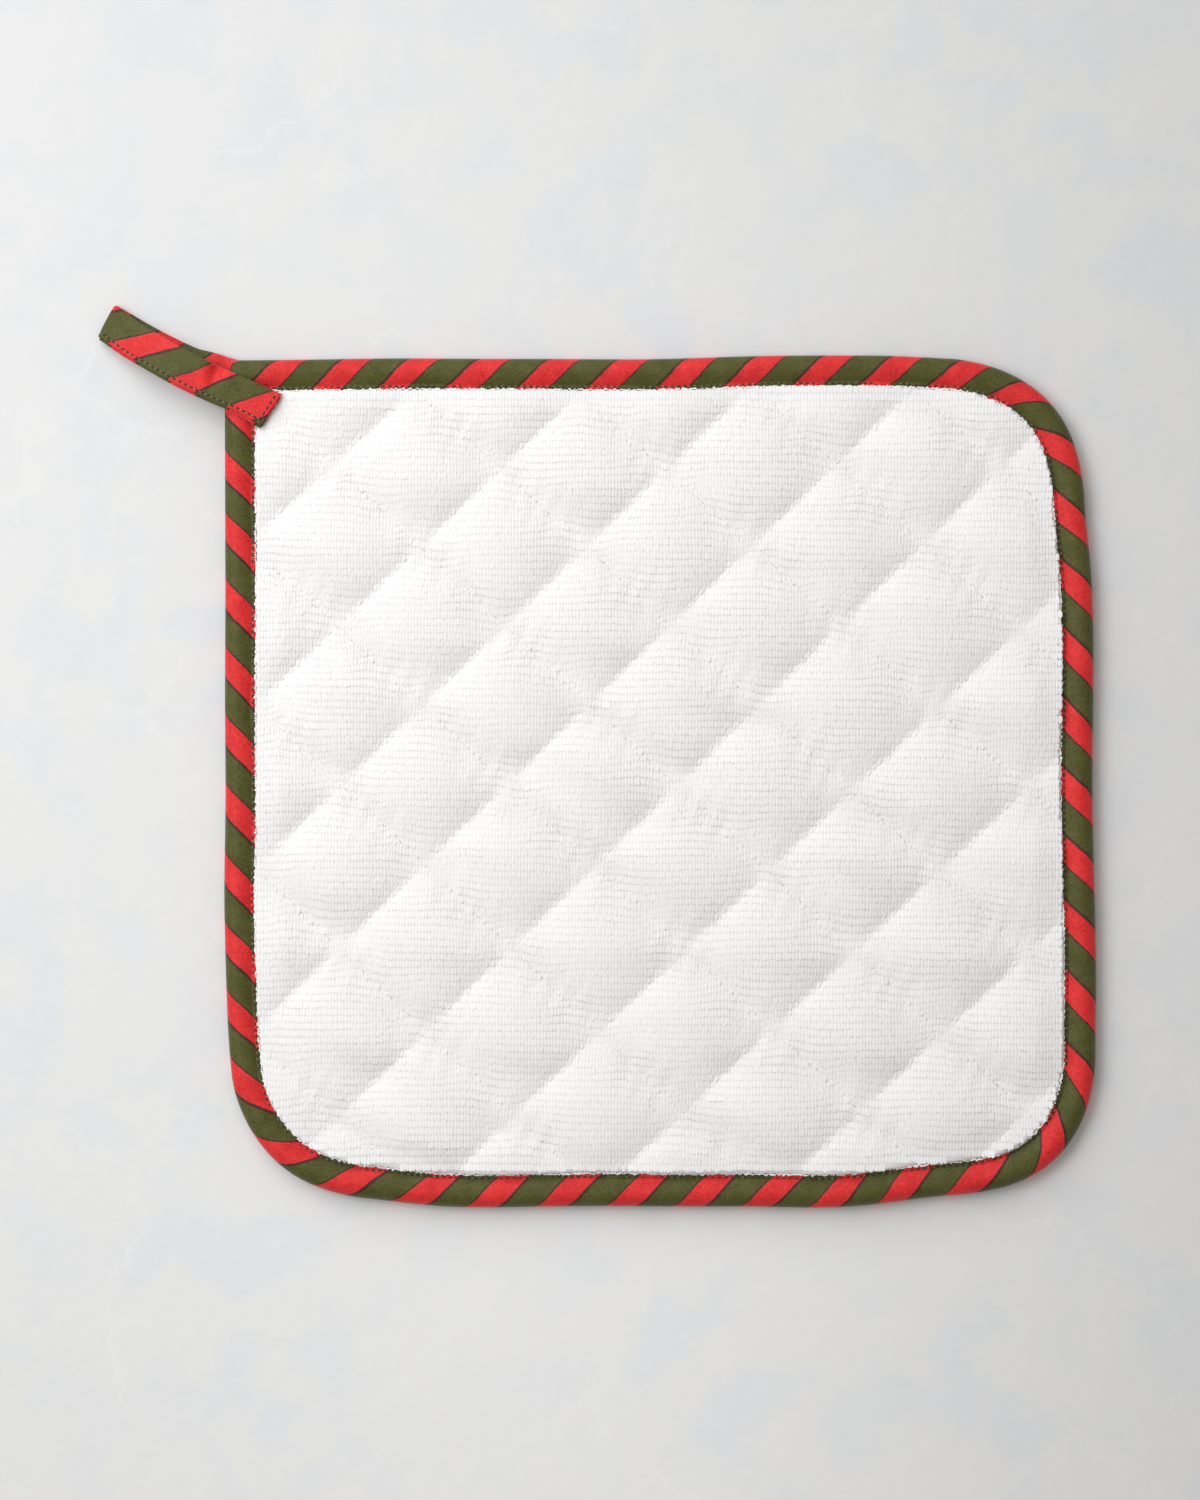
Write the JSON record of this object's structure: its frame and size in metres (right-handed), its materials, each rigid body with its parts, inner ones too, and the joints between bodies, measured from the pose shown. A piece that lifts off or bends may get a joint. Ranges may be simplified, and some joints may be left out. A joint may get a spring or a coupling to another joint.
{
  "type": "quilted pot holder",
  "caption": "Square terry pot holder quilted in diamonds, with a striped tape folded round its edge and a hanging loop at one corner.",
  "frame": {"origin": "under the middle of the whole holder, loop included, on the surface that it lies on", "axes": "+Z out of the terry face; +X and +Y along the pad's sides, with the loop at the -X +Y corner"},
  "size_m": [0.2616, 0.2358, 0.0095],
  "materials": {
    "white_terry": "looped cotton terry, matt",
    "striped_tape": "plain-woven cotton tape, printed with slanting stripes, matt",
    "thread": "spun sewing thread, matt"
  },
  "bodies": {
    "root": {"quilted_pad": "white_terry", "edge_binding": "striped_tape", "hanging_loop": "striped_tape"}
  },
  "joints": []
}
